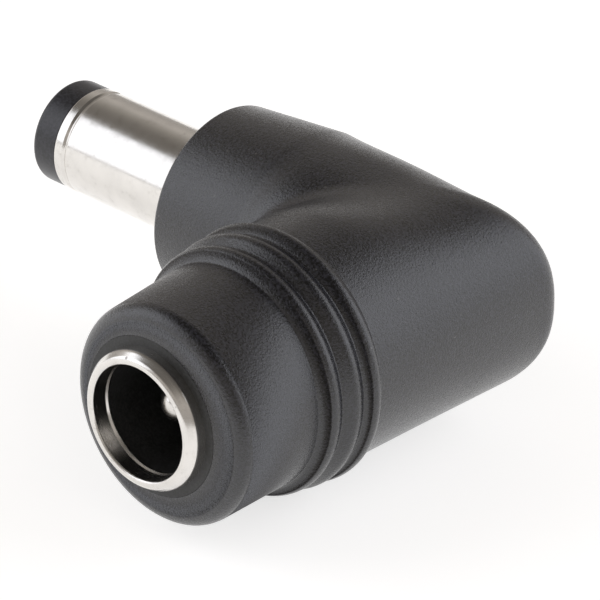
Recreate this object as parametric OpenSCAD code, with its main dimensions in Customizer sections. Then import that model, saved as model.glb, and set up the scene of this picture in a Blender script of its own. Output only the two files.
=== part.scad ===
// Right-angle DC power adapter: a 5.5 mm barrel plug on one arm, a DC jack on the other.
// The origin is on the plug's axis, where the barrel leaves the moulding. The barrel
// points along -X, the jack opens along -Y, and +Z is up. All sizes are in millimetres.

/* [Plug barrel] */
// Outside diameter of the plug barrel
barrel_d = 5.5; // [4.6:0.1:6.6]
// Length of the plug barrel outside the moulding, with its insulating tip
barrel_length = 10.9; // [8.5:0.1:14]
// Wall of the barrel's metal tube
barrel_wall = 0.25; // [0.2:0.01:0.4]
// Length of the insulating tip in front of the metal tube
tip_length = 1.6; // [0.8:0.1:2.2]
// Distance of the rolled groove behind the front edge of the metal tube
groove_setback = 0.7; // [0.5:0.05:1.5]
// Depth of the rolled groove
groove_depth = 0.08; // [0.03:0.01:0.12]
// Bore of the plug's centre contact
contact_bore_d = 2.2; // [1.4:0.1:2.8]
// Wall of the plug's centre contact
contact_wall = 0.4; // [0.25:0.05:0.5]
// Width of the slot that splits the centre contact into two tines
tine_slot = 0.4; // [0.2:0.05:0.6]

/* [Jack] */
// Diameter of the jack's centre pin
pin_d = 2.1; // [1.3:0.1:2.6]
// Distance of the centre pin's dome behind the ring's front
pin_setback = 2.4; // [1:0.1:4]
// Inside diameter of the metal ring
ring_bore_d = 5.98; // [5.7:0.02:6.6]
// Outside diameter of the metal ring
ring_d = 7.3; // [7.1:0.1:7.6]
// How far the metal ring stands proud of the jack's face
ring_proud = 0.8; // [0.3:0.1:1.5]
// Outside diameter of the jack's insulating housing
housing_d = 8.3; // [8.1:0.1:9]
// Diameter of the socket behind the ring
socket_d = 6.4; // [6.3:0.05:6.6]
// Depth of the socket, from the jack's face
socket_depth = 9; // [7:0.1:10]

/* [Moulding] */
// Length of the plug arm, from the jack's axis to the face that the barrel leaves
plug_arm_length = 13.02; // [12:0.1:18]
// Length of the jack arm, from the plug's axis to the jack's face
jack_arm_length = 18.4; // [17.6:0.1:24]
// Diameter of the plug arm at its face
plug_arm_end_d = 10.1; // [9:0.1:10.8]
// Diameter of the plug arm where it meets the elbow
plug_arm_root_d = 11.12; // [10.6:0.1:12]
// Diameter of the jack arm behind the ridges
jack_arm_d = 12.54; // [12:0.1:14]
// Diameter of the front barrel next to the ridges
front_root_d = 11.7; // [11:0.1:13]
// Diameter of the front barrel at the jack's face
front_d = 11.4; // [10.8:0.1:13]
// Rounding of the front barrel's edge
front_round = 0.9; // [0.3:0.1:1.6]
// Rounding of the plug arm's edge
arm_round = 0.6; // [0.2:0.1:1]
// Height of the elbow where the two arms are mitred
mitre_height = 11.44; // [10.6:0.1:12.4]
// Distance of the elbow's back from the plug's axis, at the outer corner
elbow_back = 4.15; // [4:0.05:5.5]
// Rounding of the elbow's outer corner
outer_round = 1; // [0.4:0.1:2]
// Rounding of the elbow's inner corner, where the two arms' undersides meet
inner_round = 1.2; // [0.6:0.1:2]
// Radius of the fold between the two arms, above and below the inner corner
fold_round = 0.9; // [0.4:0.1:1.2]
// Squareness of the elbow's section at the mitre, where 2 is an ellipse
mitre_power = 2.45; // [2:0.05:3]

/* [Ridges] */
// Number of grip ridges behind the front barrel
ridge_count = 3; // [2:1:3]
// Distance between two ridges
ridge_pitch = 1.33; // [1.25:0.01:1.5]
// Distance of the rearmost ridge from the plug's axis
ridge_start = 9.58; // [9.3:0.01:10]
// Diameter over the crest of the rearmost ridge
ridge_d = 13.6; // [13:0.1:15]
// How much smaller each ridge is than the one behind it
ridge_step = 0.3; // [0:0.05:0.5]
// Radius of a ridge's round crest
ridge_round = 0.6; // [0.4:0.05:0.62]

/* [Wiring] */
// Diameter of a wire's copper core
core_d = 0.6; // [0.4:0.05:0.7]
// Diameter of a wire's insulation
jacket_d = 1.2; // [0.9:0.05:1.3]
// Radius of the wires' bend in the elbow
wire_bend = 3; // [2.5:0.1:3.4]
// Height of the outer circuit's wire above the plug's axis
upper_wire_z = 2.42; // [2.3:0.02:2.5]
// Thickness of the tags and of the spring contact
sheet = 0.25; // [0.2:0.01:0.3]

/* [Hidden] */
$fn = 96;

moulded_black = "#1b1b1d";
nickel = "#c9c5bd";
tinned = "#b8b4a8";
natural_plastic = "#dcd8cc";

// Radii of the arms
barrel_r = barrel_d / 2;
arm_end_r = plug_arm_end_d / 2;
arm_root_r = plug_arm_root_d / 2;
jack_arm_r = jack_arm_d / 2;

// Plug: distances along its axis, counted from the jack's axis
sleeve_front = plug_arm_length + barrel_length - tip_length;
tip_front = plug_arm_length + barrel_length;
flange_depth = 1.02;
flange_front = plug_arm_length - flange_depth;
flange_thick = 0.6;
flange_back = flange_front - flange_thick;
flange_r = barrel_r + 0.55;
flange_bore_r = barrel_r - 0.85;
neck_r = barrel_r - 0.25;
groove_half_w = 0.14;
liner_front = plug_arm_length + 0.4;
tag_back = flange_back - sheet;
washer_thick = 0.6;
washer_back = tag_back - washer_thick;
contact_r = contact_bore_d / 2;
contact_outer_r = contact_r + contact_wall;
contact_front = tip_front - 0.9;
contact_floor = flange_front + 1.4;
tip_hole_r = contact_r + 0.2;
cup_r = 0.9;
cup_bore_r = 0.45;
cup_depth = 1.2;
plug_cup_mouth = washer_back - 1.9;

// Jack: distances along its axis, counted from the plug's axis
face = jack_arm_length;
ring_front = face + ring_proud;
ring_throat = 0.9;
ring_skirt = 2.6;
ring_bore_r = ring_bore_d / 2;
ring_r = ring_d / 2;
socket_r = socket_d / 2;
socket_floor = face - socket_depth;
housing_back = socket_floor - 1.5;
housing_r = housing_d / 2;
rear_thick = 0.8;
rear_back = housing_back - rear_thick;
pin_r = pin_d / 2;
pin_flange_r = pin_r + 0.55;
pin_flange_thick = 0.4;
pin_root_r = pin_r + 0.3;
shank_r = 0.7;
jack_cup_mouth = rear_back - 2.2;

// Spring contact: a bowed strip in a recess of the housing's wall
strip_w = 1.8;
strip_z = socket_r + 0.28;
bow_reach = 0.62;
bow_front = face - ring_skirt - 0.8;
bow_back = socket_floor + 0.9;
recess_gap = 0.1;
lug_z = upper_wire_z + core_d / 2 + 0.05;
lug_w = 1.6;
lug_end = washer_back - 2.3;
spring_end = rear_back - 2.7;

// Wires
bare = 0.7;
core_in_cup = 1.1;
plug_jacket_end = plug_cup_mouth - bare;
jack_jacket_end = jack_cup_mouth - bare;
upper_core_plug_end = washer_back - 0.6;
upper_core_jack_end = rear_back - 1.2;

// Moulds
inner_jack_r = housing_r - 0.15;
inner_plug_r = flange_r + 0.3;
inner_corner = [3, 2.4];
// The arms stand this much proud of the elbow where the mould's inserts meet
mould_step = 0.05;
elbow_planes = 24;
elbow_points = 44;
pivot = [-jack_arm_r - inner_round, -arm_root_r - inner_round];
corner_angle = atan2(elbow_back - pivot[1], jack_arm_r - pivot[0]);

// Points of an arc about centre c, from angle a0 to a1
function arc(c, r, a0, a1, n = 8) =
  [for (i = [0:n]) let (a = a0 + (a1 - a0) * i / n) c + r * [cos(a), sin(a)]];

// Puts what is drawn about the elbow's corner into the part's own frame
module about_corner() {
  translate([plug_arm_length, 0, 0]) children();
}

// Turns a profile of [radius, distance] about the plug's axis
module plug_turned(points) {
  about_corner() rotate([0, -90, 0]) rotate_extrude() polygon(points);
}

// Turns a profile of [radius, distance] about the jack's axis
module jack_turned(points) {
  about_corner() rotate([90, 0, 0]) rotate_extrude() polygon(points);
}

// ---- Overmould ----

// Where the ray from the pivot in direction d leaves the corner x = X, y = Y with rounding R
function corner_reach(d, X, Y, R) =
  let (
    flat = min((X - pivot[0]) / max(d[0], 1e-6), (Y - pivot[1]) / max(d[1], 1e-6)),
    hit = pivot + flat * d,
    centre = [X - R, Y - R],
    w = pivot - centre,
    b = w * d
  )
  hit[0] > centre[0] && hit[1] > centre[1] ? -b + sqrt(b * b - w * w + R * R) : flat;

// Angle of the elbow's section number i, with the sections closest at the outer corner
function fan_angle(i) =
  let (w = 2 * i / elbow_planes - 1, c = corner_angle)
  w < 0 ? c * (1 - pow(-w, 1.6)) : c + (90 - c) * pow(w, 1.6);

function signed_power(v, p) = sign(v) * pow(abs(v), p);

// A share that eases from 0 at x = -w to 1 at x = w
function eased(x, w) = let (u = max(0, min(1, x / (2 * w) + 0.5))) u * u * (3 - 2 * u);

// One section of the elbow: a superellipse in the upright plane at angle a through the pivot.
// A point's level runs from -1 on the inner side to 1 on the outer. Seen from above, points of
// one level follow the jack arm, turn a rounded corner and follow the plug arm.
function elbow_section(a) =
  let (
    d = [cos(a), sin(a)],
    u = a / 90,
    ease = eased(u - 0.5, 0.5),
    mitred = pow(sin(2 * a), 2),
    back = elbow_back + (arm_root_r - elbow_back) * max(0, 2 * u - 1),
    arm_h = jack_arm_r * (1 - ease) + arm_root_r * ease,
    half_h = arm_h * (1 - mitred) + mitre_height / 2 * mitred,
    p = 2 / (2 * (1 - mitred) + mitre_power * mitred)
  )
  [for (j = [0:elbow_points - 1]) let (
      q = 360 * j / elbow_points,
      level = signed_power(cos(q), p),
      out = eased(level, 0.3),
      fold = level < -0.9 ? fold_round + (inner_round - fold_round) * (-level - 0.9) * 10 : fold_round,
      reach = corner_reach(d, jack_arm_r * level, level * (arm_root_r * (1 - out) + back * out),
        fold * (1 - out) + outer_round * out)
    ) [pivot[0] + reach * d[0], pivot[1] + reach * d[1], half_h * signed_power(sin(q), p)]];

// The elbow: sections fanned about the inner corner, from the jack arm to the plug arm
module elbow() {
  m = elbow_points;
  n = elbow_planes;
  points = [for (i = [0:n]) for (p = elbow_section(fan_angle(i))) p];
  skin = [for (i = [0:n - 1]) for (j = [0:m - 1]) let (k = (j + 1) % m)
      [i * m + j, i * m + k, (i + 1) * m + k, (i + 1) * m + j]];
  first = [for (j = [m - 1:-1:0]) j];
  last = [for (j = [0:m - 1]) n * m + j];
  about_corner() polyhedron(points, concat(skin, [first], [last]));
}

// Profile of the ridges, from the front barrel back to the jack arm
function ridge(k) =
  let (
    crest_r = (ridge_d - k * ridge_step) / 2 - ridge_round,
    at = ridge_start + k * ridge_pitch
  )
  arc([crest_r, at], ridge_round, 75, -75);

module jack_arm() {
  arm_start = -pivot[1];
  shoulder = ridge_start - ridge_round;
  root = ridge_start + (ridge_count - 1) * ridge_pitch + ridge_round;
  edge_r = front_d / 2 - front_round;
  jack_turned(concat(
    [[0, face]],
    arc([edge_r, face - front_round], front_round, 90, 0),
    [[front_root_d / 2, root + 0.05]],
    [for (k = [ridge_count - 1:-1:0]) each ridge(k)],
    [[jack_arm_r + mould_step, shoulder], [jack_arm_r + mould_step, arm_start], [0, arm_start]]
  ));
}

module plug_arm() {
  arm_start = -pivot[0];
  edge_r = arm_end_r - arm_round;
  plug_turned(concat(
    [[0, plug_arm_length]],
    arc([edge_r, plug_arm_length - arm_round], arm_round, 90, 0),
    [[arm_root_r + mould_step, arm_start], [0, arm_start]]
  ));
}

// The space of the hard inner mould inside the overmould
module inner_space() {
  plug_turned([[0, -inner_corner[0]], [inner_plug_r, -inner_corner[0]],
      [inner_plug_r, flange_front], [0, flange_front]]);
  jack_turned([[0, -inner_corner[1]], [inner_jack_r, -inner_corner[1]],
      [inner_jack_r, rear_back], [0, rear_back]]);
}

module overmould_body() {
  color(moulded_black) difference() {
    union() {
      jack_arm();
      elbow();
      plug_arm();
    }
    inner_space();
    jack_turned([[0, rear_back], [housing_r, rear_back], [housing_r, face + 1], [0, face + 1]]);
    plug_turned([[0, flange_front - 0.1], [neck_r, flange_front - 0.1],
        [neck_r, plug_arm_length + 1], [0, plug_arm_length + 1]]);
  }
}

module inner_mould() {
  color(natural_plastic) difference() {
    inner_space();
    sleeve_tag();
    solder_sleeve_tag();
    solder_spring_contact();
    plug_turned([[0, flange_back], [flange_r, flange_back], [flange_r, flange_front + 1], [0, flange_front + 1]]);
    plug_turned([[0, tag_back], [flange_bore_r, tag_back], [flange_bore_r, flange_front], [0, flange_front]]);
    plug_turned([[0, washer_back], [washer_r(), washer_back], [washer_r(), tag_back], [0, tag_back]]);
    plug_turned([[0, plug_cup_mouth], [cup_r, plug_cup_mouth], [cup_r, washer_back], [0, washer_back]]);
    jack_turned([[0, jack_cup_mouth], [cup_r, jack_cup_mouth], [cup_r, rear_back], [0, rear_back]]);
    spring_tail_solid();
    wire(0, core_d, plug_cup_mouth, jack_cup_mouth);
    wire(0, jacket_d, plug_jacket_end, jack_jacket_end);
    wire(upper_wire_z, core_d, upper_core_plug_end, upper_core_jack_end);
    wire(upper_wire_z, jacket_d, plug_jacket_end, jack_jacket_end);
    cup_bead_solid("plug");
    cup_bead_solid("jack");
  }
}

// ---- Plug ----

function washer_r() = lug_z - 0.1;

module plug_sleeve() {
  groove = sleeve_front - groove_setback;
  inside = barrel_r - barrel_wall;
  color(nickel) plug_turned([
    [flange_bore_r, flange_back], [flange_r, flange_back], [flange_r, flange_front],
    [neck_r, flange_front], [neck_r, plug_arm_length], [barrel_r, plug_arm_length],
    [barrel_r, groove - groove_half_w], [barrel_r - groove_depth, groove],
    [barrel_r, groove + groove_half_w],
    [barrel_r, sleeve_front - 0.05], [barrel_r - 0.05, sleeve_front],
    [inside, sleeve_front], [inside, liner_front], [flange_bore_r, liner_front]
  ]);
}

module sleeve_tag() {
  color(tinned) union() {
    plug_turned([[flange_bore_r, tag_back], [flange_r, tag_back], [flange_r, flange_back],
        [flange_bore_r, flange_back]]);
    about_corner() translate([-tag_back - sheet / 2, -lug_w / 2, lug_z])
      cube([tag_back + sheet / 2 - lug_end, lug_w, sheet]);
  }
}

module plug_insulator() {
  inside = barrel_r - barrel_wall;
  tip_r = barrel_r - 0.03;
  color(moulded_black) plug_turned(concat(
    [[contact_outer_r, tag_back], [flange_bore_r, tag_back], [flange_bore_r, liner_front],
      [inside, liner_front], [inside, sleeve_front], [tip_r, sleeve_front]],
    arc([tip_r - 0.3, tip_front - 0.3], 0.3, 0, 90, 6),
    arc([tip_hole_r + 0.25, tip_front - 0.25], 0.25, 90, 180, 4),
    [[tip_hole_r, contact_front], [contact_outer_r, contact_front]]
  ));
}

module plug_rear_washer() {
  color(natural_plastic) plug_turned([[cup_r, washer_back], [washer_r(), washer_back],
      [washer_r(), tag_back], [cup_r, tag_back]]);
}

module plug_centre_contact() {
  shoulder = tag_back;
  color(nickel) difference() {
    plug_turned([
      [0, plug_cup_mouth + cup_depth], [cup_bore_r, plug_cup_mouth + cup_depth],
      [cup_bore_r, plug_cup_mouth], [cup_r, plug_cup_mouth], [cup_r, shoulder],
      [contact_outer_r, shoulder], [contact_outer_r, contact_front],
      [contact_r + 0.15, contact_front], [contact_r, contact_front - 0.15],
      [contact_r, contact_floor], [0, contact_floor]
    ]);
    about_corner() translate([-contact_front - 1, -tine_slot / 2, -contact_outer_r - 1])
      cube([contact_front + 1 - contact_floor - 1, tine_slot, 2 * contact_outer_r + 2]);
  }
}

// ---- Jack ----

module jack_ring() {
  lip = 0.22;
  skirt_r = ring_bore_r + 0.33;
  color(nickel) jack_turned(concat(
    [[ring_bore_r, face - ring_throat + ring_proud]],
    [[ring_bore_r, ring_front - lip]],
    arc([ring_bore_r + lip, ring_front - lip], lip, 180, 90, 5),
    arc([ring_r - 0.35, ring_front - 0.35], 0.35, 90, 0, 6),
    [[ring_r, face], [ring_r, face - ring_skirt], [skirt_r, face - ring_skirt],
      [skirt_r, face - ring_throat + ring_proud]]
  ));
}

// The metal ring and its skirt, filled in, as the recess that holds them
module ring_seat() {
  skirt_r = ring_bore_r + 0.33;
  throat = face - ring_throat + ring_proud;
  jack_turned([[0, throat], [skirt_r, throat], [skirt_r, face - ring_skirt],
      [ring_r, face - ring_skirt], [ring_r, face + 1], [0, face + 1]]);
}

module jack_housing() {
  color(moulded_black) difference() {
    jack_turned([[0, housing_back], [housing_r, housing_back], [housing_r, face], [0, face]]);
    jack_turned([[0, socket_floor], [socket_r, socket_floor], [socket_r, face], [0, face]]);
    ring_seat();
    pin_solid();
    about_corner() translate([-strip_w / 2 - recess_gap, -bow_front - 0.6, 0])
      cube([strip_w + 2 * recess_gap, bow_front + 0.6 - bow_back + 1.4, strip_z + sheet]);
    spring_tail_solid();
  }
}

module jack_rear_insulator() {
  color(natural_plastic) difference() {
    jack_turned([[shank_r, rear_back], [housing_r, rear_back], [housing_r, housing_back],
        [shank_r, housing_back]]);
    spring_tail_solid();
  }
}

// The centre pin without its cup's bore
module pin_solid() {
  tip = ring_front - pin_setback;
  jack_turned(concat(
    [[0, jack_cup_mouth], [cup_r, jack_cup_mouth], [cup_r, rear_back], [shank_r, rear_back],
      [shank_r, housing_back], [pin_flange_r, housing_back],
      [pin_flange_r, housing_back + pin_flange_thick], [pin_root_r, housing_back + pin_flange_thick],
      [pin_root_r, socket_floor], [pin_r, socket_floor]],
    arc([0, tip - pin_r], pin_r, 0, 90, 10)
  ));
}

module centre_pin() {
  color(nickel) difference() {
    pin_solid();
    jack_turned([[0, jack_cup_mouth - 1], [cup_bore_r, jack_cup_mouth - 1],
        [cup_bore_r, jack_cup_mouth + cup_depth], [0, jack_cup_mouth + cup_depth]]);
  }
}

// Centre line of the spring contact's bow: a cosine bump that reaches into the socket
function bow_line(n = 14) =
  [for (i = [0:n]) let (q = i / n)
      [bow_front + (bow_back - bow_front) * q, strip_z - bow_reach * (1 - cos(360 * q)) / 2]];

function tail_line() = [
  [bow_back, strip_z], [rear_back - 0.3, strip_z], [rear_back - 0.9, lug_z], [spring_end, lug_z]
];

// A strip of the sheet's thickness on top of a line of [distance, height] points
module strip(line) {
  about_corner() translate([-strip_w / 2, 0, 0]) rotate([90, 0, 90])
    linear_extrude(strip_w) polygon(concat(
      [for (p = line) [-p[0], p[1]]],
      [for (i = [len(line) - 1:-1:0]) [-line[i][0], line[i][1] + sheet]]
    ));
}

module spring_tail_solid() {
  strip(tail_line());
}

module spring_contact() {
  bow = bow_line();
  tail = tail_line();
  foot = [[bow_front + 0.5, strip_z]];
  color(tinned) strip(concat(foot, bow, [for (i = [1:len(tail) - 1]) tail[i]]));
}

// ---- Wiring ----

// A round wire at height z: straight from the plug, a quarter bend, straight to the jack
module wire(z, d, plug_end, jack_end) {
  about_corner() translate([0, 0, z]) {
    translate([-plug_end, 0, 0]) rotate([0, 90, 0]) cylinder(h = plug_end - wire_bend, d = d);
    translate([-wire_bend, -wire_bend, 0]) rotate_extrude(angle = 90)
      translate([wire_bend, 0]) circle(d = d);
    translate([0, -wire_bend, 0]) rotate([90, 0, 0]) cylinder(h = jack_end - wire_bend, d = d);
  }
}

module centre_wire_core() {
  color("#b87333") wire(0, core_d, plug_cup_mouth + core_in_cup, jack_cup_mouth + core_in_cup);
}

module outer_wire_core() {
  color("#b87333") wire(upper_wire_z, core_d, upper_core_plug_end, upper_core_jack_end);
}

module centre_wire_jacket() {
  color("#b3201c") difference() {
    wire(0, jacket_d, plug_jacket_end, jack_jacket_end);
    centre_wire_core();
  }
}

module outer_wire_jacket() {
  color("#26262a") difference() {
    wire(upper_wire_z, jacket_d, plug_jacket_end, jack_jacket_end);
    outer_wire_core();
  }
}

// The solder that fills a cup and stands as a bead on its mouth
bead = 0.4;

function cup_fill(mouth) = [
  [0, mouth - bead], [core_d / 2 + 0.05, mouth - bead], [cup_bore_r + 0.1, mouth - 0.12],
  [cup_bore_r + 0.1, mouth], [cup_bore_r, mouth], [cup_bore_r, mouth + cup_depth],
  [0, mouth + cup_depth]
];

function cup_bead(mouth) = [
  [0, mouth - bead], [core_d / 2 + 0.05, mouth - bead], [cup_bore_r + 0.1, mouth - 0.12],
  [cup_bore_r + 0.1, mouth], [0, mouth]
];

module cup_bead_solid(side) {
  if (side == "plug") plug_turned(cup_bead(plug_cup_mouth));
  else jack_turned(cup_bead(jack_cup_mouth));
}

module solder_plug_centre() {
  color("silver") difference() {
    plug_turned(cup_fill(plug_cup_mouth));
    centre_wire_core();
  }
}

module solder_centre_pin() {
  color("silver") difference() {
    jack_turned(cup_fill(jack_cup_mouth));
    centre_wire_core();
  }
}

// The solder under a flat lug: a block with sloping sides, round the wire's core
module lug_solder(length) {
  half = 0.6;
  linear_extrude(length) polygon([[-half, lug_z], [half, lug_z],
      [half * 0.6, upper_wire_z - core_d / 2 - 0.12], [-half * 0.6, upper_wire_z - core_d / 2 - 0.12]]);
}

module solder_sleeve_tag() {
  color("silver") difference() {
    about_corner() translate([-upper_core_plug_end, 0, 0]) rotate([90, 0, 90]) lug_solder(1.2);
    outer_wire_core();
  }
}

module solder_spring_contact() {
  color("silver") difference() {
    about_corner() translate([0, -upper_core_jack_end + 1.2, 0]) rotate([90, 0, 0]) lug_solder(1.2);
    outer_wire_core();
  }
}

overmould_body();
inner_mould();
plug_sleeve();
sleeve_tag();
plug_insulator();
plug_rear_washer();
plug_centre_contact();
jack_ring();
jack_housing();
jack_rear_insulator();
centre_pin();
spring_contact();
centre_wire_core();
centre_wire_jacket();
outer_wire_core();
outer_wire_jacket();
solder_plug_centre();
solder_centre_pin();
solder_sleeve_tag();
solder_spring_contact();
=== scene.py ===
"""Looks of a right-angle DC power adapter: a nickel barrel plug on one arm, a DC jack on the other.

Sizes are written in millimetres and made metres by MM. A distance along an arm is counted from
the elbow's corner, where the plug's axis and the jack's axis cross.
"""

import math

import bpy
import numpy as np
from mathutils import Matrix, Vector


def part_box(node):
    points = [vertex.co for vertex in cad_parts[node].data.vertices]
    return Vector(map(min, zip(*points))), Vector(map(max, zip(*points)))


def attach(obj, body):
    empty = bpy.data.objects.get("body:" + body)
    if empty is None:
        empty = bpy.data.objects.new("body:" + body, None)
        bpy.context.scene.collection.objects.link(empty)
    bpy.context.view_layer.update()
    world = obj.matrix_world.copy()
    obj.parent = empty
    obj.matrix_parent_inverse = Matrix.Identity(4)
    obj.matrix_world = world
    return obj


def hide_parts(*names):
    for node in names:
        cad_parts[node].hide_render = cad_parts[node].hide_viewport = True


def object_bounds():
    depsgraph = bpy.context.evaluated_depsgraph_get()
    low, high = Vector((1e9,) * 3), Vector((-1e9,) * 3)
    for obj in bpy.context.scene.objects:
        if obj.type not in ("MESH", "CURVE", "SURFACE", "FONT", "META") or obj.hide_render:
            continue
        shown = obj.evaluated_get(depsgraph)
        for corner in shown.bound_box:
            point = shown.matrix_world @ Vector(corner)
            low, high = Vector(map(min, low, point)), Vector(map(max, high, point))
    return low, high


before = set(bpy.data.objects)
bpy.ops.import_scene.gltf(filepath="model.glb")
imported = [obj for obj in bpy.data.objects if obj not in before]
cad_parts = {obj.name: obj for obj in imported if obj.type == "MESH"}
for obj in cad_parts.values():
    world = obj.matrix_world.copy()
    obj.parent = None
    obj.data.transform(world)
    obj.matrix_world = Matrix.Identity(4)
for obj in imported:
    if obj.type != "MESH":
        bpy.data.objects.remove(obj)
cad_box = [list(corner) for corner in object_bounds()]

MM = 0.001


def box_mm(node):
    """Lowest and highest corner of a CAD node, in millimetres."""
    low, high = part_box(node)
    return np.array(low) / MM, np.array(high) / MM


# ---- Places taken from the frame ----
ring_low, ring_high = box_mm("jack_ring")
sleeve_low, sleeve_high = box_mm("plug_sleeve")
tip_low, tip_high = box_mm("plug_insulator")
pin_low, pin_high = box_mm("centre_pin")
housing_low, housing_high = box_mm("jack_housing")

CORNER = np.array([(ring_low[0] + ring_high[0]) / 2, 0.0, 0.0])
PLUG_FACE = CORNER[0]
JACK_FACE = -housing_low[1]
RING_FRONT = -ring_low[1]
RING_BACK = -ring_high[1]
RING_R = (ring_high[0] - ring_low[0]) / 2
SLEEVE_FRONT = CORNER[0] - sleeve_low[0]
SLEEVE_BACK = CORNER[0] - sleeve_high[0]
FLANGE_R = (sleeve_high[2] - sleeve_low[2]) / 2
TIP_FRONT = CORNER[0] - tip_low[0]
LINER_BACK = CORNER[0] - tip_high[0]
PIN_TIP = -pin_low[1]
PIN_BACK = -pin_high[1]
HOUSING_R = (housing_high[0] - housing_low[0]) / 2
HOUSING_BACK = -housing_high[1]

# ---- Arms: radii, and the roundings of their ends ----
JACK_ARM_R = 6.27
PLUG_ARM_R = 5.56
PLUG_ARM_END_R = 5.03
PLUG_ARM_ROUND = 0.22
FRONT_R = 5.7
FRONT_ROOT_R = 5.85
FRONT_ROUND = 0.9

# ---- Elbow: the mitre's section is fuller than a circle, and the fold is the inner corner ----
MITRE_HALF_H = 5.62
MITRE_POWER = 2.4
MITRE_DROP = 0.12
ELBOW_BACK = 4.15
OUTER_ROUND = 1.0
INNER_ROUND = 1.2
FOLD_ROUND = 0.9
BACK_BLEND = 0.3

# ---- Grip ridges: each is a step smaller than the one behind it ----
RIDGES = 3
RIDGE_START = 9.58
RIDGE_PITCH = 1.33
RIDGE_R = 6.87
RIDGE_STEP = 0.15
RIDGE_ROUND = 0.5
VALLEY_R = 6.47
VALLEY_ROUND = 0.14
RIDGE_FOOT = 0.63
FOOT_ROUND = 0.12

# ---- Front barrel: it leans sideways and up by this much at the face ----
LEAN = (0.48, 0.05)
LEAN_START = RIDGE_START + 3.3
LEAN_BLEND = 0.4

# ---- Hollow of the overmould, filled by the hard inner mould and the housing ----
MOULD_JACK_R = 4.0
MOULD_PLUG_R = 3.6
REAR_DISC = 0.8
MOULD_FRONT = HOUSING_BACK - REAR_DISC
HOLLOW_GAP = 0.4
HOLLOW_EASE = 0.05
HOLLOW_POWER = 0.25
MOULD_END = 5.0
HOLE_JOIN = 8.0
NECK_R = 2.5
FLANGE_FRONT = PLUG_FACE - 1.02

# ---- Plug ----
BARREL_R = 2.75
BARREL_WALL = 0.25
TUBE_R = BARREL_R - BARREL_WALL
LINER_R = BARREL_R - 0.85
LINER_STEP = PLUG_FACE + 0.4
GROOVE_AT = SLEEVE_FRONT - 0.7
GROOVE_HALF = 0.16
GROOVE_DEPTH = 0.07
TIP_R = BARREL_R - 0.03
TIP_HOLE_R = 1.3
CONTACT_R = 1.5
CONTACT_FRONT = TIP_FRONT - 0.9

# ---- Jack: the ring's lip and the pin's tip stand a little further out than the CAD has them ----
RING_BORE_R = 2.99
RING_LIP = RING_FRONT + 0.2
RING_THROAT = JACK_FACE - 0.1
RING_BEAD_R = RING_BORE_R - 0.07
SKIRT_R = RING_BORE_R + 0.33
SOCKET_FLOOR = JACK_FACE - 9.0
PIN_R = 1.05
PIN_FRONT = PIN_TIP + 0.5
PIN_ROOT_R = PIN_R + 0.3
PIN_FLANGE_R = PIN_R + 0.55
PIN_FLANGE = 0.4
SHANK_R = 0.7
CUP_R = 0.9
CUP_BORE_R = 0.45
CUP_DEPTH = 1.2

# ---- Roundings of small edges ----
SHARP = 0.02
CRISP = 0.04
SOFT = 0.05


# ---- Surfaces ----
def unit(vectors):
    """Each vector divided by its length."""
    return vectors / np.maximum(np.linalg.norm(vectors, axis=-1, keepdims=True), 1e-12)


def rounded(corners, closed=False, steps=8, guard=0.04):
    """A profile whose corners are rounded: rows of [radius, distance, rounding] become points.

    The arc of rounding R at a corner touches both sides at R / tan(half the corner's angle)
    from it, or at half the shorter side if that is less. Its points are an even blend
    (sin((1 - s) turn) a + sin(s turn) b) / sin(turn) of the two radii a and b. One more point
    stands a guard's length before and after each arc, so that flat stretches shade flat.
    """
    rows = np.asarray(corners, float)
    p, r = rows[:, :2], rows[:, 2]
    before, after = np.roll(p, 1, 0) - p, np.roll(p, -1, 0) - p
    u, v = unit(before), unit(after)
    room = np.minimum(np.linalg.norm(before, axis=1), np.linalg.norm(after, axis=1)) * 0.49
    cosine = np.clip((u * v).sum(1), -0.9999, 0.9999)
    half = np.arccos(cosine) / 2
    tangent = np.minimum(r / np.tan(half), room)
    radius = tangent * np.tan(half)
    centre = p + unit(u + v) * (radius / np.sin(half))[:, None]
    start, end = p + u * tangent[:, None] - centre, p + v * tangent[:, None] - centre
    turn = (np.pi - 2 * half)[:, None, None]
    s = np.linspace(0, 1, steps + 1)[None, :, None]
    arcs = (np.sin((1 - s) * turn) * start[:, None] + np.sin(s * turn) * end[:, None]) / np.sin(turn)
    arcs += centre[:, None]
    pad = np.minimum(guard, (room - tangent) * 0.5)[:, None]
    arcs = np.concatenate([(arcs[:, 0] + u * pad)[:, None], arcs, (arcs[:, -1] + v * pad)[:, None]], 1)
    if closed:
        return arcs.reshape(-1, 2)
    return np.concatenate([p[:1], arcs[1:-1].reshape(-1, 2), p[-1:]])


def round_angles(around):
    """Angles of the places round a ring, in radians."""
    return np.linspace(0, 2 * np.pi, around, endpoint=False)


def plug_rings(profile, around):
    """Rings of [radius, distance] round the plug's axis: (-distance, r cos q, r sin q)."""
    r, t = profile[:, :1], profile[:, 1:]
    q = round_angles(around)
    return CORNER + np.stack([-t + 0 * q, r * np.cos(q), r * np.sin(q)], -1)


def jack_rings(profile, around):
    """Rings of [radius, distance] round the jack's axis: (r cos q, -distance, r sin q)."""
    r, t = profile[:, :1], profile[:, 1:]
    q = round_angles(around)
    return CORNER + np.stack([r * np.cos(q), -t + 0 * q, r * np.sin(q)], -1)


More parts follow.
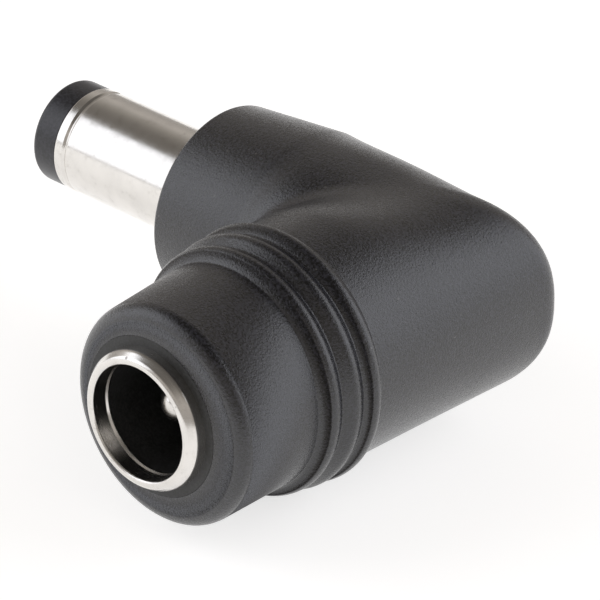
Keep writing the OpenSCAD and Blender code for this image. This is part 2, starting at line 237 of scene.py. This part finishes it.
def skin(name, rings, closed):
    """A smooth closed mesh over rings of points, an array [ring, place, xyz] in millimetres.

    Four neighbouring points make a face. The places run round each ring, and the last ring
    joins the first where closed is true. A ring of no width is one point, so faces there are
    triangles. If the volume, a sum of corner products, comes out negative, all faces turn.
    """
    index = np.arange(rings.shape[0] * rings.shape[1]).reshape(rings.shape[:2])
    poles = np.ptp(rings, axis=1).max(axis=1) < 1e-9
    index[poles] = index[poles][:, :1]
    index = np.concatenate([index, index[:1]]) if closed else index
    index = np.concatenate([index, index[:, :1]], 1)
    cells = np.stack([index[:-1, :-1], index[:-1, 1:], index[1:, 1:], index[1:, :-1]], -1).reshape(-1, 4)
    first, last = cells[:, 0] == cells[:, 1], cells[:, 2] == cells[:, 3]
    quads = cells[~first & ~last]
    triangles = np.concatenate([cells[first & ~last][:, [0, 2, 3]], cells[last & ~first][:, [0, 1, 2]]])
    points = rings.reshape(-1, 3)
    thirds = np.concatenate([quads[:, [0, 1, 2]], quads[:, [0, 2, 3]], triangles])
    a, b, c = (points[thirds[:, k]] - CORNER for k in range(3))
    if (a * np.cross(b, c)).sum() < 0:
        quads, triangles = quads[:, ::-1], triangles[:, ::-1]
    used, corners = np.unique(np.concatenate([quads.ravel(), triangles.ravel()]), return_inverse=True)
    sizes = np.concatenate([np.full(len(quads), 4), np.full(len(triangles), 3)])
    mesh = bpy.data.meshes.new(name)
    mesh.vertices.add(len(used))
    mesh.vertices.foreach_set("co", (points[used] * MM).astype(np.float32).ravel())
    mesh.loops.add(len(corners))
    mesh.loops.foreach_set("vertex_index", corners.astype(np.int32))
    mesh.polygons.add(len(sizes))
    mesh.polygons.foreach_set("loop_start", (np.cumsum(sizes) - sizes).astype(np.int32))
    mesh.polygons.foreach_set("use_smooth", np.ones(len(sizes), bool))
    mesh.update(calc_edges=True)
    mesh.validate()
    piece = bpy.data.objects.new(name, mesh)
    bpy.context.scene.collection.objects.link(piece)
    return piece


# ---- Overmould ----
def eased(x, width):
    """A share that eases from 0 at x = -width to 1 at x = width: u u (3 - 2 u)."""
    u = np.clip(x / (2 * width) + 0.5, 0, 1)
    return u * u * (3 - 2 * u)


def signed_power(value, power):
    """sign(value) |value|^power."""
    return np.sign(value) * np.abs(value) ** power


def corner_reach(pivot, d, side, back, rounding):
    """How far a ray from the pivot in direction d runs before it leaves a rounded corner.

    The corner's walls are x = side and y = back. Where the ray meets them past the centre of
    the rounding, it leaves through the circle instead: -b + sqrt(b b - w w + R R), with w from
    the centre to the pivot and b = w . d.
    """
    to_side = (side - pivot[0]) / np.maximum(d[0], 1e-6)
    to_back = (back - pivot[1]) / np.maximum(d[1], 1e-6)
    flat = np.minimum(to_side, to_back)
    cx, cy = side - rounding, back - rounding
    wx, wy = pivot[0] - cx, pivot[1] - cy
    b = wx * d[0] + wy * d[1]
    arc = -b + np.sqrt(np.maximum(b * b - wx * wx - wy * wy + rounding * rounding, 0))
    past = (pivot[0] + flat * d[0] > cx) & (pivot[1] + flat * d[1] > cy)
    return np.where(past, arc, flat)


def fan(count, middle):
    """Angles from 0 to 90 degrees that crowd together about the middle one by |w|^1.5."""
    w = np.linspace(-1, 1, count)
    apart = np.abs(w) ** 1.5
    return np.where(w < 0, middle - middle * apart, middle + (90 - middle) * apart)


def elbow_rings(angles, around):
    """The elbow, as rings in upright planes that fan out from a pivot at the inner corner.

    A place at angle q has the level e = sign(cos q) |cos q|^p, from -1 inside to 1 outside.
    Seen from above it runs along the jack arm at e arm radii, turns a rounded corner and runs
    along the plug arm. Its height is h sign(sin q) |sin q|^p. The power p and the height h
    ease from the round arms to the fuller section at the mitre by sin(2 angle)^2. The corner's
    rounding eases from the fold's to the outer one, and over the innermost tenth to the inner one.
    """
    pivot = (-JACK_ARM_R - INNER_ROUND, -PLUG_ARM_R - INNER_ROUND)
    a = np.radians(angles)[:, None]
    q = round_angles(around)[None, :]
    d = np.cos(a), np.sin(a)
    u = angles[:, None] / 90
    ease = eased(u - 0.5, 0.5)
    mitred = np.sin(2 * a) ** 2
    back = ELBOW_BACK + (PLUG_ARM_R - ELBOW_BACK) * np.maximum(0, 2 * u - 1)
    half_h = (JACK_ARM_R * (1 - ease) + PLUG_ARM_R * ease) * (1 - mitred) + MITRE_HALF_H * mitred
    power = 2 / (2 * (1 - mitred) + MITRE_POWER * mitred)
    level = signed_power(np.cos(q), power)
    out = eased(level, BACK_BLEND)
    fold = FOLD_ROUND + (INNER_ROUND - FOLD_ROUND) * np.clip(-10 * level - 9, 0, 1)
    reach = corner_reach(pivot, d, JACK_ARM_R * level, level * (PLUG_ARM_R * (1 - out) + back * out),
                         fold * (1 - out) + OUTER_ROUND * out)
    return CORNER + np.stack([pivot[0] + reach * d[0], pivot[1] + reach * d[1],
                              half_h * signed_power(np.sin(q), power) - MITRE_DROP * mitred], -1)


def hollow_rings(angles, around):
    """The hollow for the hard inner mould in the elbow: a fan of rings like the elbow's.

    The power eases from 1 at both ends, a circle, to a squarish section between them by
    cos(2 angle)^8. The height eases to the plug side's over the last few degrees.
    """
    side = MOULD_JACK_R + HOLLOW_EASE
    back = MOULD_PLUG_R + HOLLOW_EASE
    pivot = (-side - HOLLOW_GAP, -back - HOLLOW_GAP)
    a = np.radians(angles)[:, None]
    q = round_angles(around)[None, :]
    d = np.cos(a), np.sin(a)
    ends = np.cos(2 * a) ** 8
    power = ends + HOLLOW_POWER * (1 - ends)
    level = signed_power(np.cos(q), power)
    reach = corner_reach(pivot, d, side * level, back * level, HOLLOW_GAP)
    half_h = side + (back - side) * eased(angles[:, None] / 90 - 0.93, 0.05)
    return CORNER + np.stack([pivot[0] + reach * d[0], pivot[1] + reach * d[1],
                              half_h * signed_power(np.sin(q), power)], -1)


def jack_arm_profile():
    """From the housing's hole over the face, the front barrel and the ridges to the elbow."""
    last = RIDGE_START + (RIDGES - 1) * RIDGE_PITCH
    corners = [[HOUSING_R, HOLE_JOIN, 0], [HOUSING_R, JACK_FACE, SOFT / 2],
               [FRONT_R, JACK_FACE, FRONT_ROUND], [FRONT_ROOT_R, last + RIDGE_FOOT, FOOT_ROUND]]
    for k in reversed(range(RIDGES)):
        at = RIDGE_START + k * RIDGE_PITCH
        corners.append([RIDGE_R - k * RIDGE_STEP, at, RIDGE_ROUND])
        if k:
            corners.append([VALLEY_R - k * RIDGE_STEP, at - RIDGE_PITCH / 2, VALLEY_ROUND])
    corners += [[JACK_ARM_R, RIDGE_START - RIDGE_FOOT, FOOT_ROUND],
                [JACK_ARM_R, PLUG_ARM_R + INNER_ROUND, 0]]
    return rounded(corners)[1:-1]


def plug_arm_profile():
    """From the elbow over the plug arm's face into the sleeve's hole."""
    return rounded([[PLUG_ARM_R, JACK_ARM_R + INNER_ROUND, 0],
                    [PLUG_ARM_END_R, PLUG_FACE, PLUG_ARM_ROUND],
                    [NECK_R, PLUG_FACE, SOFT], [NECK_R, FLANGE_FRONT, SOFT],
                    [MOULD_PLUG_R, FLANGE_FRONT, SOFT], [MOULD_PLUG_R, MOULD_END, 0]])[1:-1]


def hollow_profile():
    """From the elbow's hollow to the housing's."""
    return rounded([[MOULD_JACK_R, MOULD_END, 0], [MOULD_JACK_R, MOULD_FRONT, SOFT],
                    [HOUSING_R, MOULD_FRONT, SOFT], [HOUSING_R, HOLE_JOIN, 0]])[:-1]


def leaning(rings, profile):
    """Rings of the jack arm moved sideways: the front barrel sits a hair off the socket's axis.

    The shift grows evenly from the ridges to the face, and eases in from the hole's edge outwards.
    """
    r, t = profile[:, 0], profile[:, 1]
    share = np.clip((t - LEAN_START) / (JACK_FACE - LEAN_START), 0, 1)
    share = share * eased(r - HOUSING_R - LEAN_BLEND, LEAN_BLEND)
    shift = np.array([LEAN[0], 0.0, LEAN[1]])
    return rings + share[:, None, None] * shift


def moulded_body(around=224):
    """The overmould: one skin from the jack's hole, over both arms and back through the hollow."""
    jack_arm = jack_arm_profile()
    rings = np.concatenate([
        leaning(jack_rings(jack_arm, around), jack_arm),
        elbow_rings(fan(97, 41.5), around),
        plug_rings(plug_arm_profile(), around),
        hollow_rings(np.linspace(90, 0, 25), around),
        jack_rings(hollow_profile(), around),
    ])
    return skin("moulded_body", rings, closed=True)


# ---- Metal and insulating parts ----
def turned(name, side, corners, around=192, closed=True):
    """A turned part: its rounded profile swept round the plug's or the jack's axis."""
    rings = plug_rings if side == "plug" else jack_rings
    return skin(name, rings(rounded(corners, closed), around), closed)


def barrel_sleeve():
    """The plug's metal tube, with its rolled groove and its flange inside the moulding."""
    groove_round, lip_round = 0.1, 0.08
    return turned("barrel_sleeve", "plug", [
        [LINER_R, SLEEVE_BACK, SHARP], [FLANGE_R, SLEEVE_BACK, SOFT], [FLANGE_R, FLANGE_FRONT, SOFT],
        [NECK_R, FLANGE_FRONT, SHARP], [NECK_R, PLUG_FACE, SHARP], [BARREL_R, PLUG_FACE, SHARP],
        [BARREL_R, GROOVE_AT - GROOVE_HALF, groove_round],
        [BARREL_R - GROOVE_DEPTH, GROOVE_AT, groove_round],
        [BARREL_R, GROOVE_AT + GROOVE_HALF, groove_round], [BARREL_R, SLEEVE_FRONT, lip_round],
        [TUBE_R, SLEEVE_FRONT, SHARP], [TUBE_R, LINER_STEP, SHARP], [LINER_R, LINER_STEP, SHARP]])


def barrel_insulator():
    """The insulator that lines the tube and stands out of it as the plug's dark tip."""
    edge_round, tip_round, hole_round = 0.03, 0.3, 0.22
    return turned("barrel_insulator", "plug", [
        [CONTACT_R, LINER_BACK, SHARP], [LINER_R, LINER_BACK, SHARP], [LINER_R, LINER_STEP, SHARP],
        [TUBE_R, LINER_STEP, SHARP], [TUBE_R, SLEEVE_FRONT, SHARP], [TIP_R, SLEEVE_FRONT, edge_round],
        [TIP_R, TIP_FRONT, tip_round], [TIP_HOLE_R, TIP_FRONT, hole_round],
        [TIP_HOLE_R, CONTACT_FRONT, SHARP], [CONTACT_R, CONTACT_FRONT, SHARP]])


def socket_ring():
    """The jack's metal ring: bead, bore, rolled lip and the skirt pressed into the housing."""
    bead_end, bore_start, shoulder, slope = 0.07, 0.2, 0.3, 0.42
    throat_round, bore_round, lip_round, shoulder_round, slope_round = 0.03, 0.06, 0.14, 0.3, 0.4
    return turned("socket_ring", "jack", [
        [RING_BEAD_R, RING_THROAT, throat_round], [RING_BEAD_R, RING_THROAT + bead_end, SOFT],
        [RING_BORE_R, RING_THROAT + bore_start, bore_round], [RING_BORE_R, RING_LIP, lip_round],
        [RING_R - shoulder, RING_LIP, shoulder_round], [RING_R, RING_LIP - slope, slope_round],
        [RING_R, RING_BACK, CRISP], [SKIRT_R, RING_BACK, CRISP], [SKIRT_R, RING_THROAT, SHARP]])


def socket_pin():
    """The jack's centre pin: solder cup, shank, flange and root, then a quarter circle as its dome."""
    s = np.linspace(0, np.pi / 2, 14)[:, None]
    dome = np.concatenate([PIN_R * np.cos(s), PIN_FRONT - PIN_R + PIN_R * np.sin(s)], 1)
    dome[-1, 0] = 0
    body = rounded([
        [0, PIN_BACK + CUP_DEPTH, 0], [CUP_BORE_R, PIN_BACK + CUP_DEPTH, SOFT],
        [CUP_BORE_R, PIN_BACK, CRISP], [CUP_R, PIN_BACK, CRISP], [CUP_R, MOULD_FRONT, CRISP],
        [SHANK_R, MOULD_FRONT, SHARP], [SHANK_R, HOUSING_BACK, SHARP],
        [PIN_FLANGE_R, HOUSING_BACK, CRISP], [PIN_FLANGE_R, HOUSING_BACK + PIN_FLANGE, CRISP],
        [PIN_ROOT_R, HOUSING_BACK + PIN_FLANGE, SHARP], [PIN_ROOT_R, SOCKET_FLOOR, CRISP],
        [PIN_R, SOCKET_FLOOR, SHARP], [PIN_R, PIN_FRONT - PIN_R, 0]])
    return skin("socket_pin", jack_rings(np.concatenate([body[:-1], dome]), 96), closed=False)


# ---- Materials ----
class Value:
    """An output socket: + and *, with numbers or other values, add Math nodes."""

    def __init__(self, finish, socket):
        self.finish = finish
        self.socket = socket

    def math(self, operation, first, second):
        return self.finish.node("ShaderNodeMath", {"operation": operation}, {0: first, 1: second})

    def __add__(self, other):
        return self.math("ADD", self, other)

    __radd__ = __add__

    def __mul__(self, other):
        return self.math("MULTIPLY", self, other)

    __rmul__ = __mul__

    def or_larger(self, other):
        return self.math("MAXIMUM", self, other)


class Finish:
    """A material being made: every node comes from node(), and surface() sets the shader."""

    def __init__(self, name, tree=None):
        self.material = None if tree else bpy.data.materials.new(name)
        if self.material:
            self.material.use_nodes = True
        self.tree = tree or self.material.node_tree
        self.shader = None if tree else self.tree.nodes["Principled BSDF"]

    def node(self, kind, settings, inputs, output=0):
        """A node of that kind: its settings first, then the values or links of its sockets."""
        made = self.tree.nodes.new(kind)
        for key, value in settings.items():
            if key == "stops":
                ramp = made.color_ramp
                while len(ramp.elements) < len(value):
                    ramp.elements.new(0.5)
                for element, (place, colour) in zip(ramp.elements, value):
                    element.position = place
                    element.color = (*colour, 1)
            else:
                setattr(made, key, value)
        for key, value in inputs.items():
            self.put(made.inputs[key], value)
        return Value(self, made.outputs[output])

    def put(self, socket, value):
        """Links a value to a socket, or sets a number, vector or colour on it."""
        if isinstance(value, Value):
            self.tree.links.new(value.socket, socket)
        elif hasattr(value, "__len__") and len(value) == 3 and len(socket.default_value) == 4:
            socket.default_value = (*value, 1)
        else:
            socket.default_value = value

    def place(self, scale=(1, 1, 1)):
        """The place on the piece in millimetres, times a scale along each axis."""
        at = self.node("ShaderNodeTexCoord", {}, {}, "Object")
        return self.node("ShaderNodeVectorMath", {"operation": "MULTIPLY"},
                         {0: at, 1: [s / MM for s in scale]})

    def noise(self, at, scale, detail=2.0, roughness=0.5):
        """Fractal noise from 0 to 1, with that many features to a millimetre."""
        return self.node("ShaderNodeTexNoise", {},
                         {"Vector": at, "Scale": scale, "Detail": detail, "Roughness": roughness})

    def flecks(self, at, scale, radius, fade, strength):
        """Scattered round flecks: strength up to that radius from each, then fading to 0."""
        away = self.node("ShaderNodeTexVoronoi", {}, {"Vector": at, "Scale": scale})
        return self.spread(away, radius, fade, strength, 0.0)

    def spread(self, value, low, high, new_low=0.0, new_high=1.0):
        """Spreads low..high of a value over new_low..new_high, and holds it there."""
        return self.node("ShaderNodeMapRange", {"clamp": True},
                         {"Value": value, "From Min": low, "From Max": high, "To Min": new_low,
                          "To Max": new_high})

    def mix(self, share, first, second):
        """A colour between two, by a share."""
        return self.node("ShaderNodeMix", {"data_type": "RGBA"}, {0: share, 6: first, 7: second}, 2)

    def bump(self, height, depth_mm, strength=1.0):
        """Surface normals of a height from 0 to 1, that deep in millimetres."""
        return self.node("ShaderNodeBump", {},
                         {"Height": height, "Distance": depth_mm * MM, "Strength": strength})

    def surface(self, **sockets):
        """Sets the shader's sockets; an underscore in a name stands for a space."""
        for key, value in sockets.items():
            self.put(self.shader.inputs[key.replace("_", " ")], value)
        return self.material


def moulded_plastic():
    """Matt black moulding: spark-eroded grain, fine speckle, slow flow marks and a little dust."""
    f = Finish("moulded_black")
    at = f.place()
    grain = f.noise(at, scale=9.5, detail=2.5, roughness=0.7)
    pebble = f.noise(at, scale=4.0)
    speck = f.noise(at, scale=8.0, detail=1.5, roughness=0.6)
    flow = f.noise(at, scale=0.3, detail=3.0, roughness=0.55)
    dust = f.flecks(at, scale=0.9, radius=0.035, fade=0.06, strength=0.6)
    base = f.mix(f.spread(speck, 0.4, 0.66), (0.0, 0.0, 0.001), (0.029, 0.029, 0.039))
    base = f.mix(dust, base, (0.16, 0.155, 0.15))
    rough = f.spread(flow, 0.3, 0.7, 0.24, 0.28) + f.spread(speck, 0.35, 0.65, -0.02, 0.05)
    height = grain * 0.8 + pebble * 0.2
    return f.surface(Base_Color=base, Roughness=rough, IOR=1.65, Normal=f.bump(height, 0.035))


def nickel(name, roughness, turning):
    """Nickel plate: fine turning marks, soft stains, dull patches and a few pits.

    The turning marks are noise with that many features to a millimetre along x, y and z.
    """
    bright, stained = (0.675, 0.655, 0.625), (0.5805, 0.5633, 0.5375)
    f = Finish(name)
    at = f.place()
    marks = f.noise(f.place(turning), scale=1.0, detail=3.0, roughness=0.6)
    stain = f.noise(at, scale=0.8, detail=3.0, roughness=0.55)
    grain = f.noise(at, scale=14.0)
    patch = f.noise(at, scale=1.6, detail=4.0, roughness=0.7)
    tarnish = f.spread(patch, 0.56, 0.72) * f.spread(grain, 0.3, 0.6)
    base = f.mix(f.spread(stain, 0.35, 0.7) * 0.5, bright, stained)
    base = f.mix(tarnish * 0.4, base, (0.36, 0.33, 0.29))
    pits = f.flecks(at, scale=0.55, radius=0.04, fade=0.06, strength=0.7)
    base = f.mix(pits, base, (0.12, 0.11, 0.10))
    rough = f.spread(stain, 0.3, 0.7, roughness, roughness + 0.06)
    rough = rough + f.spread(marks, 0.3, 0.7, -0.02, 0.04)
    height = marks * 0.75 + grain * 0.25
    return f.surface(Base_Color=base, Roughness=rough, Metallic=1.0, Normal=f.bump(height, 0.0012, 0.6))


def plain_plastic(name, dark, light, roughness, grain_mm=0.003):
    """A smooth moulded plastic: slow colour drift, fine speckle and a very fine grain."""
    f = Finish(name)
    at = f.place()
    drift = f.spread(f.noise(at, scale=0.7, detail=3.0), 0.3, 0.7)
    grain = f.noise(at, scale=8.0)
    speck = f.spread(f.noise(at, scale=8.0, detail=1.5, roughness=0.6), 0.4, 0.66)
    base = f.mix(drift * 0.4 + speck * 0.6, dark, light)
    rough = f.spread(grain, 0.3, 0.7, roughness - 0.04, roughness + 0.06)
    return f.surface(Base_Color=base, Roughness=rough, Normal=f.bump(grain, grain_mm, 0.6))


def soft_metal(name, colour, dull, roughness):
    """Tinned brass, copper or solder: bright metal with dull patches."""
    f = Finish(name)
    at = f.place()
    patch = f.noise(at, scale=2.5, detail=3.0, roughness=0.6)
    base = f.mix(f.spread(patch, 0.4, 0.65), colour, dull)
    rough = f.spread(patch, 0.3, 0.7, roughness, roughness + 0.15)
    return f.surface(Base_Color=base, Roughness=rough, Metallic=1.0, Normal=f.bump(patch, 0.004, 0.5))


# ---- Putting the object together ----
def show(piece, material, slot, *nodes):
    """Gives a new piece its material, and lets it stand for its CAD nodes. The slot is not used."""
    piece.data.materials.append(material)
    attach(piece, "root")
    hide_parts(*nodes)


def paint(node, material):
    """Puts a better material on a CAD node that stays as it is."""
    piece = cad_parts[node]
    for place in piece.material_slots:
        place.material = material


def make_object():
    """Makes the materials and the new pieces, and paints the CAD nodes that stay."""
    black = moulded_plastic()
    sleeve_nickel = nickel("sleeve_nickel", 0.15, (9.0, 0.7, 0.7))
    ring_nickel = nickel("ring_nickel", 0.2, (0.4, 7.0, 0.4))
    dark = plain_plastic("insulator_black", (0.004, 0.004, 0.006), (0.05, 0.05, 0.062), 0.34, 0.001)
    housing_black = plain_plastic("housing_black", (0.01, 0.0105, 0.009), (0.05, 0.051, 0.053),
                                  0.5, 0.001)
    natural = plain_plastic("natural_plastic", (0.66, 0.62, 0.52), (0.72, 0.68, 0.58), 0.45)
    tinned = soft_metal("tinned_brass", (0.75, 0.73, 0.68), (0.6, 0.57, 0.5), 0.3)
    copper = soft_metal("copper", (0.86, 0.45, 0.28), (0.7, 0.33, 0.2), 0.3)
    solder = soft_metal("solder", (0.7, 0.7, 0.68), (0.5, 0.5, 0.48), 0.25)
    red = plain_plastic("red_jacket", (0.42, 0.02, 0.015), (0.5, 0.03, 0.02), 0.4)
    jacket = plain_plastic("black_jacket", (0.015, 0.015, 0.016), (0.025, 0.025, 0.027), 0.4)

    show(moulded_body(), black, "overmould_black", "overmould_body")
    show(barrel_sleeve(), sleeve_nickel, "nickel_plate", "plug_sleeve")
    show(barrel_insulator(), dark, "insulator_black", "plug_insulator")
    show(socket_ring(), ring_nickel, "nickel_plate", "jack_ring")
    show(socket_pin(), ring_nickel, "nickel_plate", "centre_pin")

    paint("jack_housing", housing_black)
    paint("plug_centre_contact", sleeve_nickel)
    for node in ("inner_mould", "plug_rear_washer", "jack_rear_insulator"):
        paint(node, natural)
    for node in ("sleeve_tag", "spring_contact"):
        paint(node, tinned)
    for node in ("centre_wire_core", "outer_wire_core"):
        paint(node, copper)
    for node in ("solder_plug_centre", "solder_centre_pin", "solder_sleeve_tag", "solder_spring_contact"):
        paint(node, solder)
    paint("centre_wire_jacket", red)
    paint("outer_wire_jacket", jacket)


# ---- Studio ----
def make_camera():
    """A long lens that looks down on the elbow's inner corner, rolled by a hair."""
    azimuth, elevation, roll = np.radians([43.272, 28.633, -0.605])
    distance, side, rise, lens = 400.0, 5.540, 0.698, 486.2
    back = np.array([math.sin(azimuth) * math.cos(elevation), -math.cos(azimuth) * math.cos(elevation),
                     math.sin(elevation)])
    right = np.array([math.cos(azimuth), math.sin(azimuth), 0.0])
    up = np.cross(back, right)
    cos_roll, sin_roll = math.cos(roll), math.sin(roll)
    right, up = cos_roll * right - sin_roll * up, sin_roll * right + cos_roll * up
    eye = CORNER - side * right - rise * up + distance * back
    data = bpy.data.cameras.new("camera")
    data.lens = lens
    data.sensor_width = 36.0
    data.clip_start, data.clip_end = 0.01, 100.0
    camera = bpy.data.objects.new("camera", data)
    bpy.context.scene.collection.objects.link(camera)
    camera.matrix_world = Matrix((
        (right[0], up[0], back[0], eye[0] * MM), (right[1], up[1], back[1], eye[1] * MM),
        (right[2], up[2], back[2], eye[2] * MM), (0, 0, 0, 1)))
    bpy.context.scene.camera = camera


def soft_box(name, towards, size):
    """A soft box that stands in a direction from the object and faces it.

    A panel of sides a and b that shines evenly with radiance L gives off pi L a b watts.
    """
    distance, radiance, colour = 0.5, 1.4, (0.93, 0.97, 1.06)
    aim = Vector(CORNER * MM)
    data = bpy.data.lights.new(name, "AREA")
    data.shape = "RECTANGLE"
    data.size, data.size_y = size
    data.color = colour
    data.energy = math.pi * radiance * size[0] * size[1]
    lamp = bpy.data.objects.new(name, data)
    bpy.context.scene.collection.objects.link(lamp)
    direction = Vector(towards).normalized()
    lamp.location = aim + direction * distance
    lamp.rotation_euler = direction.to_track_quat("Z", "Y").to_euler()


def make_floor():
    """A large pale floor under the object, which keeps its soft shadow.

    To the camera, through glass and in gloss it glows, so that it is white where nothing shades it.
    """
    half, low = 3.0, cad_box[0][2]
    seen_glow, gloss_glow = 0.66, 0.84
    mesh = bpy.data.meshes.new("floor")
    mesh.from_pydata([(-half, -half, low), (half, -half, low), (half, half, low), (-half, half, low)],
                     [], [(0, 1, 2, 3)])
    floor = bpy.data.objects.new("floor", mesh)
    bpy.context.scene.collection.objects.link(floor)
    f = Finish("floor_white")
    camera, gloss, through = (f.node("ShaderNodeLightPath", {}, {}, kind)
                              for kind in ("Is Camera Ray", "Is Glossy Ray", "Is Transmission Ray"))
    glow = camera.or_larger(through) * seen_glow + gloss * gloss_glow
    f.surface(Base_Color=(0.8, 0.79, 0.775), Roughness=1.0, Emission_Color=(1, 1, 1),
              Emission_Strength=glow)
    mesh.materials.append(f.material)


def make_room():
    """The room's light: warm grey, palest above the horizon and dark overhead."""
    world = bpy.data.worlds.new("room")
    bpy.context.scene.world = world
    world.use_nodes = True
    f = Finish("room", world.node_tree)
    direction = f.node("ShaderNodeTexCoord", {}, {}, "Generated")
    height = f.node("ShaderNodeSeparateXYZ", {}, {"Vector": direction}, "Z")
    ramp = f.node("ShaderNodeValToRGB", {"stops": [
        (0.0, (0.42, 0.395, 0.37)), (0.23, (0.45, 0.42, 0.39)), (0.48, (0.60, 0.56, 0.52)),
        (0.67, (0.34, 0.315, 0.285)), (0.79, (0.17, 0.155, 0.14)), (1.0, (0.13, 0.12, 0.11))]},
        {"Fac": height})
    f.put(world.node_tree.nodes["Background"].inputs["Color"], ramp)


def make_studio():
    """The camera, the floor, the room and two soft boxes, shown without a film look."""
    make_camera()
    make_floor()
    make_room()
    soft_box("soft_box_left", (-0.724, -0.545, 0.423), (0.46, 0.42))
    soft_box("soft_box_right", (0.60, 0.69, 0.42), (0.54, 0.46))
    bpy.context.scene.view_settings.view_transform = "Standard"


make_studio()
make_object()
